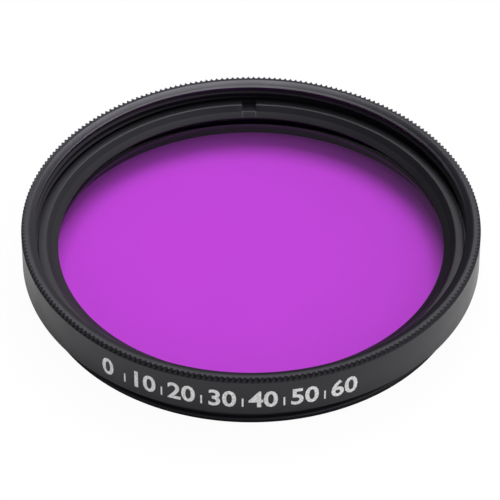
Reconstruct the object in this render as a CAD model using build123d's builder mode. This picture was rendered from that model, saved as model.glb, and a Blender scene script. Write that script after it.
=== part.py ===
from build123d import *
from math import cos, pi, sin
import os

# Screw-in colour effect filter for a camera lens, in millimetres.
# A turned aluminium frame ring holds a disc of tinted glass under a slotted retaining ring.
# +Z is the front of the filter. The origin is the centre of the rear face.

# Filter thread, the same size at both ends. Its helix is too fine for the solids: the front
# wall stands at the thread's full diameter, and the rear wall a little inside it.
thread_diameter = 40.5
thread_play = 0.05

# Heights along the axis, from the rear to the front
rear_thread_length = 2.3
rear_recess_depth = 1.65
lip_thickness = 0.35
glass_thickness = 2.0
ring_thickness = 0.86
front_well_depth = 1.74

# Frame ring, outside
band_wall = 1.25
band_edge_chamfer = 0.1
rear_lead_chamfer = 0.06

# Straight knurl round the rim: pointed teeth with flat roots between them
knurl_pitch = 0.523
knurl_root_width = 0.14
knurl_depth = 0.34
knurl_setback = 0.03
knurl_length = 0.45

# Frame ring, front mouth
mouth_chamfer_width = 0.6
mouth_chamfer_depth = 0.375
relief_width = 0.35
relief_depth = 0.25

# Frame ring, pocket for the glass and rear recess
ring_seat_step = 0.25
ring_stands_proud = 0.21
clamp_gap = 0.1
pocket_step = 0.45
lip_width = 1.15
rear_wall = 0.8
rear_edge_chamfer = 0.15

# Glass disc
glass_play = 0.05
glass_edge_bevel = 0.12

# Retaining ring
ring_play = 0.04
ring_corner_chamfer = 0.08
ring_land_width = 0.81
ring_upper_bevel_width = 0.45
ring_lower_bevel_width = 0.6
ring_edge_thickness = 0.1
slot_width = 1.3
slot_depth = 0.44
slot_angle = 90.6

# Radii that follow
thread_radius = thread_diameter / 2
rear_thread_radius = thread_radius - thread_play
band_radius = thread_radius + band_wall
knurl_tip_radius = band_radius - knurl_setback
knurl_root_radius = knurl_tip_radius - knurl_depth
mouth_radius = thread_radius + mouth_chamfer_width
relief_radius = thread_radius + relief_depth
ring_seat_radius = thread_radius - ring_seat_step
pocket_radius = ring_seat_radius - pocket_step
lip_radius = pocket_radius - lip_width
rear_bore_radius = rear_thread_radius - rear_wall
glass_radius = pocket_radius - glass_play
ring_radius = ring_seat_radius - ring_play

# Levels that follow
lip_rear = rear_recess_depth
glass_rear = lip_rear + lip_thickness
glass_front = glass_rear + glass_thickness
ring_front = glass_front + ring_thickness
frame_front = ring_front + front_well_depth
shoulder = rear_thread_length
seat_rear = glass_front - clamp_gap
seat_front = ring_front - ring_stands_proud
relief_front = seat_front + relief_width

# The knurl has a whole number of teeth
knurl_teeth = round(2 * pi * knurl_tip_radius / knurl_pitch)
tooth_angle = 2 * pi / knurl_teeth
root_angle = knurl_root_width / knurl_root_radius


def polar(radius, angle):
    return (radius * cos(angle), radius * sin(angle))


# Knurl outline: for each tooth its tip, then the two corners of the root beside it
def knurl_outline():
    points = []
    for tooth in range(knurl_teeth):
        tip = tooth * tooth_angle
        root = tip + tooth_angle / 2
        points.append(polar(knurl_tip_radius, tip))
        points.append(polar(knurl_root_radius, root - root_angle / 2))
        points.append(polar(knurl_root_radius, root + root_angle / 2))
    return points


# Frame ring: one turned section, then the knurl cut into its rim
def make_frame_ring():
    with BuildPart() as frame_ring:
        with BuildSketch(Plane.XZ):
            with BuildLine():
                Polyline(
                    (rear_bore_radius + rear_edge_chamfer, 0),
                    (rear_thread_radius - rear_lead_chamfer, 0),
                    (rear_thread_radius, rear_lead_chamfer),
                    (rear_thread_radius, shoulder),
                    (band_radius - band_edge_chamfer, shoulder),
                    (band_radius, shoulder + band_edge_chamfer),
                    (band_radius, frame_front),
                    (mouth_radius, frame_front),
                    (thread_radius, frame_front - mouth_chamfer_depth),
                    (thread_radius, relief_front),
                    (relief_radius, relief_front),
                    (relief_radius, seat_front),
                    (ring_seat_radius, seat_front),
                    (ring_seat_radius, seat_rear),
                    (pocket_radius, seat_rear),
                    (pocket_radius, glass_rear),
                    (lip_radius, glass_rear),
                    (lip_radius, lip_rear),
                    (rear_bore_radius, lip_rear),
                    (rear_bore_radius, rear_edge_chamfer),
                    close=True,
                )
            make_face()
        revolve(axis=Axis.Z)
        with BuildSketch(Plane.XY.offset(frame_front)):
            Circle(2 * band_radius)
            with BuildLine():
                Polyline(knurl_outline(), close=True)
            make_face(mode=Mode.SUBTRACT)
        extrude(amount=-knurl_length, mode=Mode.SUBTRACT)
    frame_ring.part.label = "frame_ring"
    return frame_ring.part


# Glass: a flat disc with its sharp edges ground off
def make_filter_glass():
    with BuildPart() as filter_glass:
        with BuildSketch(Plane.XY.offset(glass_rear)):
            Circle(glass_radius)
        extrude(amount=glass_thickness)
        chamfer(filter_glass.edges(), length=glass_edge_bevel)
    filter_glass.part.label = "filter_glass"
    return filter_glass.part


# Retaining ring: bevelled in two steps towards the glass, with two slots for a spanner
def make_retaining_ring():
    inner_top = ring_radius - ring_land_width
    crease = inner_top - ring_upper_bevel_width
    aperture = crease - ring_lower_bevel_width
    slot_floor = ring_front - slot_depth
    with BuildPart() as retaining_ring:
        with BuildSketch(Plane.XZ):
            with BuildLine():
                Polyline(
                    (ring_radius, glass_front),
                    (ring_radius, ring_front - ring_corner_chamfer),
                    (ring_radius - ring_corner_chamfer, ring_front),
                    (inner_top, ring_front),
                    (crease, slot_floor),
                    (aperture, glass_front + ring_edge_thickness),
                    (aperture, glass_front),
                    close=True,
                )
            make_face()
        revolve(axis=Axis.Z)
        with BuildSketch(Plane.XY.offset(slot_floor)):
            Rectangle(2 * band_radius, slot_width, rotation=slot_angle)
        extrude(amount=2 * slot_depth, mode=Mode.SUBTRACT)
    retaining_ring.part.label = "retaining_ring"
    return retaining_ring.part


os.makedirs("parts", exist_ok=True)
for piece in (make_frame_ring(), make_filter_glass(), make_retaining_ring()):
    export_step(piece, f"parts/{piece.label}.step")
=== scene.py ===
from math import asin, cos, pi, radians, sin, tan

import bmesh
import bpy
from mathutils import Matrix, Vector


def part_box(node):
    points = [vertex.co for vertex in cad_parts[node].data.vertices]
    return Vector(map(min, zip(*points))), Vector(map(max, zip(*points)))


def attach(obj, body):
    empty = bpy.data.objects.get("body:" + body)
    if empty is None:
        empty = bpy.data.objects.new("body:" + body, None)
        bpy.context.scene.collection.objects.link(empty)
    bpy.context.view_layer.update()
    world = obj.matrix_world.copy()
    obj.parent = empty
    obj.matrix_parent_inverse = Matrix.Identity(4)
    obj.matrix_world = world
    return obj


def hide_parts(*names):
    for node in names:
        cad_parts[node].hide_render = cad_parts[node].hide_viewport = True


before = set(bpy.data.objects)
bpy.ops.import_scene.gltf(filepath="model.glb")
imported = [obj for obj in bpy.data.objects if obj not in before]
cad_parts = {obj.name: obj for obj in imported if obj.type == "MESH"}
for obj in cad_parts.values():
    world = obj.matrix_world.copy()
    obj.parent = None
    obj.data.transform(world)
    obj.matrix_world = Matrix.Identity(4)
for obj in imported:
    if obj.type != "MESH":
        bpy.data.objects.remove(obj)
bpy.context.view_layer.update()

# Screw-in colour effect filter lying on its rear face on a pale floor.
# Sizes are in millimetres and turned into metres where the meshes are made.
MM = 0.001

# Camera, from the circles of the rim in the photograph
CAMERA_ELEVATION = radians(41.34)
CAMERA_DISTANCE = 339.5
CAMERA_TARGET_HEIGHT = 6.46
CAMERA_LENS = 261.4
CAMERA_PITCH = radians(-0.441)
CAMERA_YAW = radians(0.0156)
CAMERA_SENSOR = 36

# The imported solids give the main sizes
frame_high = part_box("frame_ring")[1] / MM
ring_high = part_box("retaining_ring")[1] / MM
glass_low, glass_high = (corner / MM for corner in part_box("filter_glass"))
FRONT = frame_high.z
RING_RADIUS = ring_high.x
RING_FRONT = ring_high.z
GLASS_FRONT = glass_high.z
GLASS_REAR = glass_low.z
GLASS_RADIUS = glass_high.x
# The band lies a hair inside its solid, and its painted marks stand between the two
BAND_INSET = 0.012
MARK_INSET = 0.004
BAND_RADIUS = frame_high.x - BAND_INSET
MARK_RADIUS = frame_high.x - MARK_INSET

# Frame ring, front mouth and its thread
MOUTH_RADIUS = 20.85
MOUTH_SLOPE = 0.36
FEMALE_ROOT_RADIUS = 20.3
FEMALE_CREST_RADIUS = 20.08
FEMALE_TOP = FRONT - (MOUTH_RADIUS - FEMALE_ROOT_RADIUS) * MOUTH_SLOPE
FEMALE_PHASE = 6.72

# Frame ring, seats of the retaining ring and the glass
RING_PLAY = 0.04
RING_STANDS_PROUD = 0.21
RELIEF_WIDTH = 0.35
RELIEF_STEP = 0.5
CLAMP_GAP = 0.1
GLASS_PLAY = 0.05
LIP_WIDTH = 1.15
LIP_THICKNESS = 0.35
SEAT_RADIUS = RING_RADIUS + RING_PLAY
SEAT_FRONT = RING_FRONT - RING_STANDS_PROUD
SEAT_REAR = GLASS_FRONT - CLAMP_GAP
RELIEF_RADIUS = SEAT_RADIUS + RELIEF_STEP
RELIEF_FRONT = SEAT_FRONT + RELIEF_WIDTH
POCKET_RADIUS = GLASS_RADIUS + GLASS_PLAY
LIP_RADIUS = POCKET_RADIUS - LIP_WIDTH
LIP_REAR = GLASS_REAR - LIP_THICKNESS

# Frame ring, rear thread with its plain lead, and the rear bore
SHOULDER = 2.3
BAND_ROUNDING = 0.22
MALE_CREST_RADIUS = 20.2
MALE_ROOT_RADIUS = 19.88
MALE_END = 2.1
MALE_PHASE = 0.3
LEAD_RADIUS = 20.17
LEAD_TOP = 0.12
LEAD_CHAMFER = 0.04
LEAD_RELIEF = 0.15
REAR_WALL = 0.8
REAR_CHAMFER = 0.15
REAR_BORE_RADIUS = MALE_CREST_RADIUS - REAR_WALL

# Screw threads: the ridge's form, and how far each helix runs on past the ends of its wall
THREAD_PITCH = 0.775
THREAD_COLUMNS = 360
FLANK_SLOPE = tan(radians(30))
CREST_WIDTH = 0.15
CREST_CORNER = 0.03
RIDGE_FOOT = 0.05
LOWEST_RIDGE = 0.002
THREAD_OVERRUN = 0.3
MOUTH_OVERRUN = 0.4
MOUTH_CLEARANCE = 0.01

# Knurl round the rim. The two forms are exponents of the notch's curve across and down.
KNURL_TEETH = 258
KNURL_DEPTH = 0.37
KNURL_SETBACK = 0.03
KNURL_LENGTH = 0.42
KNURL_BEVEL = 0.13
KNURL_BEVEL_SLOPE = 0.6
NOTCH_FORM = 0.7
RUN_OUT_FORM = 2.2
KNURL_LEVELS = (KNURL_LENGTH, 0.38, 0.33, 0.26, 0.17, 0.08, 0.0)
TOOTH_COLUMNS = (0.0, 0.07, 0.2, 0.35, 0.5, 0.65, 0.8, 0.93)
COLUMNS_PER_TOOTH = 2
KNURL_MARGIN = 0.05
LAND_MARGIN = 0.03
BAND_TOP = FRONT - KNURL_LENGTH - KNURL_MARGIN
LAND_RADIUS = BAND_RADIUS - KNURL_DEPTH - LAND_MARGIN

# Scale on the band, in degrees from the front and millimetres from the rear face
MARK_START = -37
MARK_END = 23
MARK_STEPS = 6
MARK_NUMBER_STEP = 10
MARK_LOW = 3.3
MARK_HEIGHT = 1.85
MARK_BOLDNESS = 0.06
CAPITAL_SHARE = 0.7
TICK_WIDTH = 0.16
TICK_SHARE = 0.55
STRIP_WIDTH = 0.3
STRIP_MARGIN = 3

# Retaining ring
RING_LAND_WIDTH = 0.81
RING_UPPER_BEVEL = 0.45
RING_LOWER_BEVEL = 0.6
RING_EDGE = 0.1
RING_COLUMNS = 720
RING_INNER_TOP = RING_RADIUS - RING_LAND_WIDTH
RING_CREASE = RING_INNER_TOP - RING_UPPER_BEVEL
RING_APERTURE = RING_CREASE - RING_LOWER_BEVEL
SLOT_WIDTH = 1.3
SLOT_DEPTH = 0.44
SLOT_FLOOR = RING_FRONT - SLOT_DEPTH
SLOT_ANGLE = radians(90.6)
SLOT_BRIM = 0.04
SLOT_BEVEL = 0.03

# Colours and gloss of the black anodising, the glass, its shadow and the paint
FRAME_BLACK = (0.0055, 0.005, 0.0075)
# The frame's front land: a painted sheen, coloured lighter for the light its flat top catches
FRAME_LAND_PAINTED_SHEEN = (0.02, 0.019, 0.026)
FRAME_ROUGHNESS = 0.34
FRAME_IOR = 1.46
RING_BLACK = (0.0075, 0.007, 0.0095)
RING_ROUGHNESS = 0.42
RING_IOR = 1.42
LATHE_ANISOTROPY = 0.35
ROUGHNESS_SPREAD = 0.03
MOUTH_DULLNESS = 0.05
# Depth below the front face that the land's painted sheen covers
PAINTED_SHEEN_DEPTH = 0.04
MOUTH_EDGE = 0.5
SHEEN_TINT = (0.95, 0.92, 1)
GLASS_TINTS = ((0.83, 0.255, 0.95), (0.84, 0.265, 0.96))
GLASS_SHADOW = (0.865, 0.485, 0.925)
PAINT_TINTS = ((0.6, 0.59, 0.6), (0.92, 0.91, 0.91))
PAPER = (0.9, 0.9, 0.9)
WHITE = (1, 1, 1)

# Light: a soft box above and behind, and a dim room that is brighter to the right and in front
BOX_PLACE = (50, 225, 600)
BOX_SIZE = (350, 380)
BOX_POWER = 3.1
ROOM_RIGHT = {"From Min": -0.1, "From Max": 0.6, "To Min": 0.14, "To Max": 0.75}
ROOM_FRONT = {"From Min": 0.1, "From Max": -0.6, "To Min": 0.0, "To Max": 0.25}
FLOOR_SIZE = 1500
FLOOR_LEVEL = -0.01
FLOOR_GLOW = 0.965


# A closed section whose corners (r, z, setback) are rounded over their setback
def rounded(corners, steps=3):
    points = []
    for i, (r, z, setback) in enumerate(corners):
        here = Vector((r, z))
        if setback == 0:
            points.append((r, z))
            continue
        before = Vector(corners[i - 1][:2])
        after = Vector(corners[(i + 1) % len(corners)][:2])
        start = here + (before - here).normalized() * setback
        end = here + (after - here).normalized() * setback
        for step in range(steps + 1):
            t = step / steps
            p = start * (1 - t) ** 2 + here * 2 * t * (1 - t) + end * t ** 2
            points.append((p.x, p.y))
    return points


def at(radius, angle, height):
    return (radius * cos(angle), radius * sin(angle), height)


# Joins closed loops of points into one closed surface. Neighbouring loops have the same
# number of points, or one has a whole multiple of the other's.
def loops_to_faces(vertices, faces, loops):
    starts = []
    for loop in loops:
        starts.append(len(vertices))
        vertices.extend(loop)
    for i in range(len(loops)):
        j = (i + 1) % len(loops)
        a, b = starts[i], starts[j]
        na, nb = len(loops[i]), len(loops[j])
        if na < nb:
            a, b, na, nb = b, a, nb, na
        share = na // nb
        for k in range(nb):
            fine = [a + (k * share + m) % na for m in range(share + 1)]
            faces.append(fine + [b + (k + 1) % nb, b + k])


# A screw thread's ridge as one closed strip. inward is 1 for a female thread and -1 for a male one.
# Its foot is sunk into the wall. limits(d) gives the lowest and highest level at depth d, and
# fades gives the ridge's depth where it runs out at its ends.
def thread_ridge(vertices, faces, root, crest, inward, start, end, phase, limits, fades):
    depth = abs(root - crest)
    half_foot = CREST_WIDTH / 2 + depth * FLANK_SLOPE
    count = int((end - start) / THREAD_PITCH * THREAD_COLUMNS)
    first = len(vertices)
    rings = 0
    for k in range(count + 1):
        turn = 2 * pi * k / THREAD_COLUMNS
        middle = start + THREAD_PITCH * turn / (2 * pi)
        reach = fades(middle, depth, half_foot)
        if reach <= LOWEST_RIDGE:
            continue
        angle = phase + turn
        corner = CREST_CORNER * reach / depth
        ring = []
        samples = [-RIDGE_FOOT, 0, reach / 2, reach - corner, reach]
        for d in samples:
            low = middle - half_foot + d * FLANK_SLOPE
            if d == reach:
                low += corner
            ring.append((d, low))
        for d in reversed(samples):
            high = middle + half_foot - d * FLANK_SLOPE
            if d == reach:
                high -= corner
            ring.append((d, high))
        for d, level in ring:
            lowest, highest = limits(d)
            level = min(max(level, lowest), highest)
            vertices.append(at(root - inward * d, angle, level))
        rings += 1
    size = len(ring)
    for k in range(rings - 1):
        for m in range(size):
            n = (m + 1) % size
            a = first + k * size
            faces.append([a + m, a + n, a + size + n, a + size + m])
    faces.append([first + m for m in range(size)])
    faces.append([first + (rings - 1) * size + m for m in range(size)])


def mesh_object(name, vertices, faces, smooth_angle=radians(32)):
    mesh = bpy.data.meshes.new(name)
    mesh.from_pydata([Vector(v) * MM for v in vertices], [], faces)
    shape = bmesh.new()
    shape.from_mesh(mesh)
    bmesh.ops.recalc_face_normals(shape, faces=shape.faces)
    shape.to_mesh(mesh)
    shape.free()
    mesh.shade_smooth()
    mesh.set_sharp_from_angle(angle=smooth_angle)
    piece = bpy.data.objects.new(name, mesh)
    bpy.context.scene.collection.objects.link(piece)
    return piece


# How much of the knurl's depth is cut at a share of the pitch from a tooth's tip
def tooth_cut(share):
    return KNURL_SETBACK + (KNURL_DEPTH - KNURL_SETBACK) * sin(pi * share) ** NOTCH_FORM


# Radius of the knurled rim: its notches run out in a curve, and the tips are bevelled
def knurl_radius(share, below):
    run_out = max(1 - (below / KNURL_LENGTH) ** RUN_OUT_FORM, 0)
    bevel = max(KNURL_BEVEL - below, 0) * KNURL_BEVEL_SLOPE
    return BAND_RADIUS - max(tooth_cut(share) * run_out, bevel)


# A circle of the frame ring with as many points for each tooth as the knurl needs beside it
def plain_loop(radius, height):
    columns = KNURL_TEETH * COLUMNS_PER_TOOTH
    return [at(radius, 2 * pi * k / columns, height) for k in range(columns)]


def knurled_loop(below):
    loop = []
    for tooth in range(KNURL_TEETH):
        for share in TOOTH_COLUMNS:
            angle = 2 * pi * (tooth + share) / KNURL_TEETH
            loop.append(at(knurl_radius(share, below), angle, FRONT - below))
    return loop


def mouth_limits(d):
    clearance = MOUTH_CLEARANCE if d < 0 else 0
    return RELIEF_FRONT, FEMALE_TOP - d * MOUTH_SLOPE - clearance


def mouth_fades(middle, depth, half_foot):
    at_relief = (middle + half_foot - RELIEF_FRONT) / FLANK_SLOPE
    at_mouth = (FEMALE_TOP - middle + half_foot) / (FLANK_SLOPE + MOUTH_SLOPE)
    return min(depth, at_relief, at_mouth)


def tail_limits(d):
    return LEAD_TOP, MALE_END


def tail_fades(middle, depth, half_foot):
    at_lead = (middle + half_foot - LEAD_TOP) / FLANK_SLOPE
    at_shoulder = (MALE_END - middle + half_foot) / FLANK_SLOPE
    return min(depth, at_lead, at_shoulder)


# The turned section from the mouth through the bore and round the back to the knurled rim
def make_frame_ring():
    section = rounded([
        (MOUTH_RADIUS, FRONT, 0.04),
        (FEMALE_ROOT_RADIUS, FEMALE_TOP, 0.03),
        (FEMALE_ROOT_RADIUS, RELIEF_FRONT, 0.02),
        (RELIEF_RADIUS, RELIEF_FRONT, 0),
        (RELIEF_RADIUS, SEAT_FRONT, 0),
        (SEAT_RADIUS, SEAT_FRONT, 0.03),
        (SEAT_RADIUS, SEAT_REAR, 0),
        (POCKET_RADIUS, SEAT_REAR, 0),
        (POCKET_RADIUS, GLASS_REAR, 0),
        (LIP_RADIUS, GLASS_REAR, 0.03),
        (LIP_RADIUS, LIP_REAR, 0.04),
        (REAR_BORE_RADIUS, LIP_REAR, 0),
        (REAR_BORE_RADIUS, REAR_CHAMFER, 0.03),
        (REAR_BORE_RADIUS + REAR_CHAMFER, 0, 0.03),
        (LEAD_RADIUS - LEAD_CHAMFER, 0, 0.01),
        (LEAD_RADIUS, LEAD_CHAMFER, 0.01),
        (LEAD_RADIUS, LEAD_TOP, 0.02),
        (MALE_ROOT_RADIUS, LEAD_TOP + LEAD_RELIEF, 0.02),
        (MALE_ROOT_RADIUS, SHOULDER, 0),
        (BAND_RADIUS, SHOULDER, BAND_ROUNDING),
        (BAND_RADIUS, BAND_TOP, 0),
        (LAND_RADIUS, FRONT, 0),
    ])
    loops = [plain_loop(r, z) for r, z in section[:-1]]
    loops.extend(knurled_loop(below) for below in KNURL_LEVELS)
    loops.append(plain_loop(*section[-1]))
    vertices, faces = [], []
    loops_to_faces(vertices, faces, loops)
    thread_ridge(vertices, faces, FEMALE_ROOT_RADIUS, FEMALE_CREST_RADIUS, 1,
                 RELIEF_FRONT - THREAD_OVERRUN, FEMALE_TOP + MOUTH_OVERRUN,
                 FEMALE_PHASE, mouth_limits, mouth_fades)
    thread_ridge(vertices, faces, MALE_ROOT_RADIUS, MALE_CREST_RADIUS, -1,
                 LEAD_TOP - THREAD_OVERRUN, MALE_END + THREAD_OVERRUN,
                 MALE_PHASE, tail_limits, tail_fades)
    return mesh_object("frame_ring_turned", vertices, faces)


# The columns of the retaining ring, round from one slot to the other. Each is an angle, a
# sideways offset from a slot's middle and how much the ring is cut there: "bevel", "floor" or None.
def ring_columns():
    wall = SLOT_WIDTH / 2
    across = (
        (-wall - SLOT_BRIM, None), (-wall, "bevel"), (-wall, "floor"), (-wall + SLOT_BEVEL, "floor"),
        (0.0, "floor"),
        (wall - SLOT_BEVEL, "floor"), (wall, "floor"), (wall, "bevel"), (wall + SLOT_BRIM, None),
    )
    spread = SLOT_WIDTH / RING_RADIUS
    half = RING_COLUMNS // 2
    columns = []
    for slot in (SLOT_ANGLE, SLOT_ANGLE + pi):
        for offset, cut in across:
            columns.append((slot, offset, cut))
        for k in range(half):
            columns.append((slot + spread + (pi - 2 * spread) * k / (half - 1), 0.0, None))
    return columns


def ring_level(z, cut):
    if cut == "floor":
        return min(z, SLOT_FLOOR)
    if cut == "bevel" and z > SLOT_FLOOR:
        return max(z - SLOT_BEVEL, SLOT_FLOOR)
    return z


def make_retaining_ring():
    section = rounded([
        (RING_RADIUS, GLASS_FRONT, 0.02),
        (RING_RADIUS, RING_FRONT, 0.05),
        (RING_INNER_TOP, RING_FRONT, 0.09),
        (RING_CREASE, SLOT_FLOOR, 0.05),
        (RING_APERTURE, GLASS_FRONT + RING_EDGE, 0.02),
        (RING_APERTURE, GLASS_FRONT, 0.01),
    ])
    columns = ring_columns()
    loops = []
    for r, z in section:
        loops.append([at(r, angle + asin(offset / r), ring_level(z, cut)) for angle, offset, cut in columns])
    vertices, faces = [], []
    loops_to_faces(vertices, faces, loops)
    return mesh_object("retaining_ring_turned", vertices, faces)


def add_tick(strips, along):
    left, right = along - TICK_WIDTH / 2, along + TICK_WIDTH / 2
    low, high = MARK_LOW, MARK_LOW + MARK_HEIGHT * TICK_SHARE
    corners = [(left, low), (right, low), (right, high), (left, high)]
    strips.faces.new([strips.verts.new((u, v, 0)) for u, v in corners])


def add_number(strips, along, number):
    text = bpy.data.curves.new("number", "FONT")
    text.body = str(number)
    text.size = MARK_HEIGHT / CAPITAL_SHARE
    text.align_x = "CENTER"
    text.offset = MARK_BOLDNESS
    text.resolution_u = 3
    holder = bpy.data.objects.new("number", text)
    flat = bpy.data.meshes.new_from_object(holder)
    for vertex in flat.vertices:
        vertex.co.x += along
        vertex.co.y += MARK_LOW
    strips.from_mesh(flat)
    bpy.data.objects.remove(holder)
    bpy.data.curves.remove(text)
    bpy.data.meshes.remove(flat)


# A plain scale on the band: numbers with short lines between them. Each mark is flat at
# first, along the band and up, and is cut into narrow strips before it is wrapped round.
def make_marks():
    strips = bmesh.new()
    half_steps = MARK_STEPS * 2
    for step in range(half_steps + 1):
        along = radians(MARK_START + (MARK_END - MARK_START) * step / half_steps) * MARK_RADIUS
        if step % 2:
            add_tick(strips, along)
        else:
            add_number(strips, along, step // 2 * MARK_NUMBER_STEP)
    edge = radians(MARK_START - STRIP_MARGIN) * MARK_RADIUS
    while edge < radians(MARK_END + STRIP_MARGIN) * MARK_RADIUS:
        geometry = list(strips.verts) + list(strips.edges) + list(strips.faces)
        bmesh.ops.bisect_plane(strips, geom=geometry, plane_co=(edge, 0, 0), plane_no=(1, 0, 0))
        edge += STRIP_WIDTH
    bmesh.ops.triangulate(strips, faces=strips.faces)
    for vertex in strips.verts:
        angle = vertex.co.x / MARK_RADIUS - pi / 2
        vertex.co = Vector(at(MARK_RADIUS, angle, vertex.co.y)) * MM
    mesh = bpy.data.meshes.new("band_marks")
    strips.to_mesh(mesh)
    strips.free()
    marks = bpy.data.objects.new("band_marks", mesh)
    bpy.context.scene.collection.objects.link(marks)
    return marks


# Shader helpers: a new tree, one node with its values, and the usual links between nodes
def new_material(name):
    material = bpy.data.materials.new(name)
    material.use_nodes = True
    tree = material.node_tree
    tree.nodes.clear()
    return material, tree


def node(tree, kind, **values):
    made = tree.nodes.new(kind)
    for key, value in values.items():
        if hasattr(made, key):
            setattr(made, key, value)
        else:
            made.inputs[key.replace("_", " ")].default_value = value
    return made


def noise(tree, vector, scale, detail):
    made = node(tree, "ShaderNodeTexNoise", Scale=scale, Detail=detail)
    tree.links.new(vector, made.inputs["Vector"])
    return made.outputs["Fac"]


def map_range(tree, value, limits, interpolation="LINEAR"):
    made = node(tree, "ShaderNodeMapRange", interpolation_type=interpolation)
    for key, limit in limits.items():
        made.inputs[key].default_value = limit
    tree.links.new(value, made.inputs["Value"])
    return made.outputs["Result"]


# Noise mostly lies between 0.3 and 0.7, and is spread from low to high
def ramp(tree, value, low, high):
    return map_range(tree, value, {"From Min": 0.3, "From Max": 0.7, "To Min": low, "To Max": high})


# A colour between two others, or from one given by a socket to a fixed one
def blend(tree, factor, a, b):
    made = node(tree, "ShaderNodeMix", data_type="RGBA")
    tree.links.new(factor, made.inputs["Factor"])
    made.inputs["B"].default_value = (*b, 1)
    if isinstance(a, tuple):
        made.inputs["A"].default_value = (*a, 1)
    else:
        tree.links.new(a, made.inputs["A"])
    return made.outputs["Result"]


def finish_surface(tree, shader, kind="ShaderNodeOutputMaterial"):
    output = node(tree, kind)
    tree.links.new(shader, output.inputs["Surface"])


def mix_shaders(tree, factor, first, second):
    made = node(tree, "ShaderNodeMixShader")
    tree.links.new(factor, made.inputs["Fac"])
    tree.links.new(first, made.inputs[1])
    tree.links.new(second, made.inputs[2])
    return made.outputs["Shader"]


def bump(tree, height, strength, distance, normal=None):
    made = node(tree, "ShaderNodeBump", Strength=strength, Distance=distance)
    tree.links.new(height, made.inputs["Height"])
    if normal:
        tree.links.new(normal, made.inputs["Normal"])
    return made.outputs["Normal"]


# Object coordinates in millimetres
def place(tree):
    coordinates = node(tree, "ShaderNodeTexCoord")
    scaled = node(tree, "ShaderNodeVectorMath", operation="SCALE")
    scaled.inputs["Scale"].default_value = 1 / MM
    tree.links.new(coordinates.outputs["Object"], scaled.inputs[0])
    return scaled.outputs["Vector"]


# Coordinates that run along a lathe's tool marks: radius, angle in radians and height
def turned_place(tree, vector):
    parts = node(tree, "ShaderNodeSeparateXYZ")
    tree.links.new(vector, parts.inputs[0])
    flat = node(tree, "ShaderNodeCombineXYZ")
    tree.links.new(parts.outputs["X"], flat.inputs["X"])
    tree.links.new(parts.outputs["Y"], flat.inputs["Y"])
    radius = node(tree, "ShaderNodeVectorMath", operation="LENGTH")
    tree.links.new(flat.outputs["Vector"], radius.inputs[0])
    angle = node(tree, "ShaderNodeMath", operation="ARCTAN2")
    tree.links.new(parts.outputs["Y"], angle.inputs[0])
    tree.links.new(parts.outputs["X"], angle.inputs[1])
    joined = node(tree, "ShaderNodeCombineXYZ")
    tree.links.new(radius.outputs["Value"], joined.inputs["X"])
    tree.links.new(angle.outputs["Value"], joined.inputs["Y"])
    tree.links.new(parts.outputs["Z"], joined.inputs["Z"])
    return joined.outputs["Vector"]


# 1 where a coordinate lies above a level, with a narrow soft edge
def above(tree, value, level, edge=0.02):
    return map_range(tree, value, {"From Min": level - edge, "From Max": level + edge})


def combine(tree, operation, a, b):
    made = node(tree, "ShaderNodeMath", operation=operation)
    for socket, value in zip(made.inputs, (a, b)):
        if isinstance(value, float):
            socket.default_value = value
        else:
            tree.links.new(value, socket)
    return made.outputs["Value"]


# Black anodised aluminium: fine lathe marks, a slight grain and small changes of gloss.
# On the frame the front land is painted lighter, a painted sheen for the light its flat top catches, and the
# thread in the mouth is dull.
def black_anodised(name, colour, roughness, ior, painted_sheen=None):
    material, tree = new_material(name)
    vector = place(tree)
    turned = turned_place(tree, vector)
    marks = noise(tree, turned, 16.0, 2.0)
    grain = noise(tree, vector, 9.0, 4.0)
    cloud = noise(tree, vector, 0.35, 2.0)
    shader = node(tree, "ShaderNodeBsdfPrincipled", IOR=ior, Anisotropic=LATHE_ANISOTROPY)
    shader.inputs["Specular Tint"].default_value = (*SHEEN_TINT, 1)
    darker = tuple(c * 0.8 for c in colour)
    lighter = tuple(c * 1.25 for c in colour)
    base = blend(tree, ramp(tree, grain, 0, 1), darker, lighter)
    gloss = ramp(tree, cloud, roughness - ROUGHNESS_SPREAD, roughness + ROUGHNESS_SPREAD)
    if painted_sheen:
        parts = node(tree, "ShaderNodeSeparateXYZ")
        tree.links.new(turned, parts.inputs[0])
        radius, height = parts.outputs["X"], parts.outputs["Z"]
        # Painted sheen: the top of the land is coloured lighter for the light it catches
        base = blend(tree, above(tree, height, FRONT - PAINTED_SHEEN_DEPTH), base, painted_sheen)
        outside = above(tree, radius, MOUTH_RADIUS - MOUTH_EDGE)
        mouth = combine(tree, "SUBTRACT", above(tree, height, SEAT_FRONT), outside)
        mouth = combine(tree, "MAXIMUM", mouth, 0.0)
        gloss = combine(tree, "ADD", gloss, combine(tree, "MULTIPLY", mouth, MOUTH_DULLNESS))
    tree.links.new(base, shader.inputs["Base Color"])
    tree.links.new(gloss, shader.inputs["Roughness"])
    normal = bump(tree, grain, 0.25, 0.01 * MM)
    normal = bump(tree, marks, 0.2, 0.006 * MM, normal)
    tree.links.new(normal, shader.inputs["Normal"])
    tangent = node(tree, "ShaderNodeTangent", direction_type="RADIAL", axis="Z")
    tree.links.new(tangent.outputs["Tangent"], shader.inputs["Tangent"])
    finish_surface(tree, shader.outputs["BSDF"])
    return material


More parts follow.
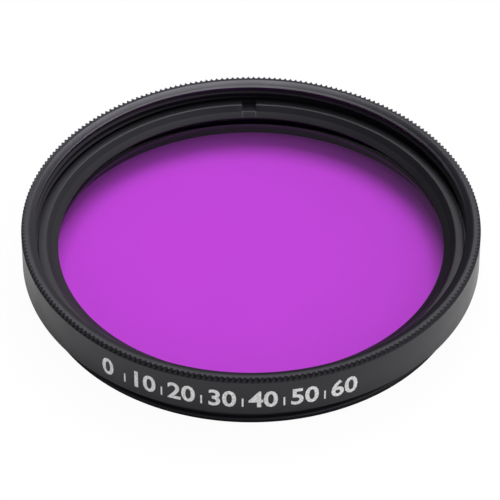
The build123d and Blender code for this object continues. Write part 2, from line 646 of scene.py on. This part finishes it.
# Purple glass. Light that falls on what lies under it passes straight through, tinted.
def purple_glass():
    material, tree = new_material("purple_glass_dyed")
    vector = place(tree)
    shader = node(tree, "ShaderNodeBsdfPrincipled", IOR=1.52, Roughness=0.0)
    shader.inputs["Specular IOR Level"].default_value = 0.25
    shader.inputs["Transmission Weight"].default_value = 1.0
    tint = blend(tree, ramp(tree, noise(tree, vector, 0.2, 1.0), 0, 1), *GLASS_TINTS)
    tree.links.new(tint, shader.inputs["Base Color"])
    clear = node(tree, "ShaderNodeBsdfTransparent", Color=(*GLASS_SHADOW, 1))
    path = node(tree, "ShaderNodeLightPath")
    either = combine(tree, "MAXIMUM", path.outputs["Is Shadow Ray"], path.outputs["Is Diffuse Ray"])
    finish_surface(tree, mix_shaders(tree, either, shader.outputs["BSDF"], clear.outputs["BSDF"]))
    return material


# Worn off-white paint, a little uneven
def mark_paint():
    material, tree = new_material("mark_paint_white")
    vector = place(tree)
    shader = node(tree, "ShaderNodeBsdfPrincipled", IOR=1.45, Roughness=0.55)
    tint = blend(tree, ramp(tree, noise(tree, vector, 4.5, 4.0), 0, 1), *PAINT_TINTS)
    tree.links.new(tint, shader.inputs["Base Color"])
    finish_surface(tree, shader.outputs["BSDF"])
    return material


# Floor: white paper that shows white to the camera and keeps a trace of the shadow
def floor_paper():
    material, tree = new_material("floor_paper")
    diffuse = node(tree, "ShaderNodeBsdfDiffuse", Color=(*PAPER, 1))
    glow = node(tree, "ShaderNodeEmission", Color=(*WHITE, 1), Strength=1.0)
    path = node(tree, "ShaderNodeLightPath")
    share = combine(tree, "MULTIPLY", path.outputs["Is Camera Ray"], FLOOR_GLOW)
    finish_surface(tree, mix_shaders(tree, share, diffuse.outputs["BSDF"], glow.outputs["Emission"]))
    return material


def make_floor():
    mesh = bpy.data.meshes.new("floor")
    corners = [(-1, -1), (1, -1), (1, 1), (-1, 1)]
    places = [Vector((x * FLOOR_SIZE, y * FLOOR_SIZE, FLOOR_LEVEL)) * MM for x, y in corners]
    mesh.from_pydata(places, [], [(0, 1, 2, 3)])
    mesh.materials.append(floor_paper())
    floor = bpy.data.objects.new("floor", mesh)
    bpy.context.scene.collection.objects.link(floor)


# The room lights the object, and the camera sees plain white behind it
def make_world():
    world = bpy.data.worlds.new("studio")
    world.use_nodes = True
    tree = world.node_tree
    tree.nodes.clear()
    light = node(tree, "ShaderNodeBackground", Color=(*WHITE, 1))
    direction = node(tree, "ShaderNodeTexCoord")
    parts = node(tree, "ShaderNodeSeparateXYZ")
    tree.links.new(direction.outputs["Generated"], parts.inputs[0])
    side = map_range(tree, parts.outputs["X"], ROOM_RIGHT, "SMOOTHSTEP")
    front = map_range(tree, parts.outputs["Y"], ROOM_FRONT, "SMOOTHSTEP")
    tree.links.new(combine(tree, "ADD", side, front), light.inputs["Strength"])
    shown = node(tree, "ShaderNodeBackground", Color=(*WHITE, 1), Strength=1.0)
    path = node(tree, "ShaderNodeLightPath")
    seen = path.outputs["Is Camera Ray"]
    mixed = mix_shaders(tree, seen, light.outputs["Background"], shown.outputs["Background"])
    finish_surface(tree, mixed, "ShaderNodeOutputWorld")
    bpy.context.scene.world = world


# A soft box facing the object
def make_lamp(name, position, size, power):
    lamp = bpy.data.lights.new(name, "AREA")
    lamp.shape = "RECTANGLE"
    lamp.size, lamp.size_y = (side * MM for side in size)
    lamp.energy = power
    holder = bpy.data.objects.new(name, lamp)
    holder.location = Vector(position) * MM
    holder.rotation_euler = (-holder.location).to_track_quat("-Z", "Y").to_euler()
    bpy.context.scene.collection.objects.link(holder)


def make_camera():
    camera = bpy.data.cameras.new("camera")
    camera.sensor_width = CAMERA_SENSOR
    camera.lens = CAMERA_LENS
    camera.clip_start = 0.01
    camera.clip_end = 10
    holder = bpy.data.objects.new("camera", camera)
    back = Vector((0, -cos(CAMERA_ELEVATION), sin(CAMERA_ELEVATION)))
    target = Vector((0, 0, CAMERA_TARGET_HEIGHT))
    aim = Matrix.Rotation(pi / 2 - CAMERA_ELEVATION, 4, "X")
    turn = Matrix.Rotation(CAMERA_PITCH, 4, "X") @ Matrix.Rotation(CAMERA_YAW, 4, "Y")
    holder.matrix_world = Matrix.Translation((target + back * CAMERA_DISTANCE) * MM) @ aim @ turn
    bpy.context.scene.collection.objects.link(holder)
    bpy.context.scene.camera = holder


make_camera()
make_floor()
make_world()
make_lamp("top_box", BOX_PLACE, BOX_SIZE, BOX_POWER)

frame_black = black_anodised("frame_black_anodised", FRAME_BLACK, FRAME_ROUGHNESS, FRAME_IOR, FRAME_LAND_PAINTED_SHEEN)
ring_black = black_anodised("ring_black_anodised", RING_BLACK, RING_ROUGHNESS, RING_IOR)

frame_ring = make_frame_ring()
frame_ring.data.materials.append(frame_black)
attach(frame_ring, "root")
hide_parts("frame_ring")

marks = make_marks()
marks.data.materials.append(mark_paint())
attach(marks, "root")

retaining_ring = make_retaining_ring()
retaining_ring.data.materials.append(ring_black)
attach(retaining_ring, "root")
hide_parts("retaining_ring")

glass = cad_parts["filter_glass"]
glass.data.materials.clear()
glass.data.materials.append(purple_glass())

bpy.context.scene.view_settings.view_transform = "Standard"
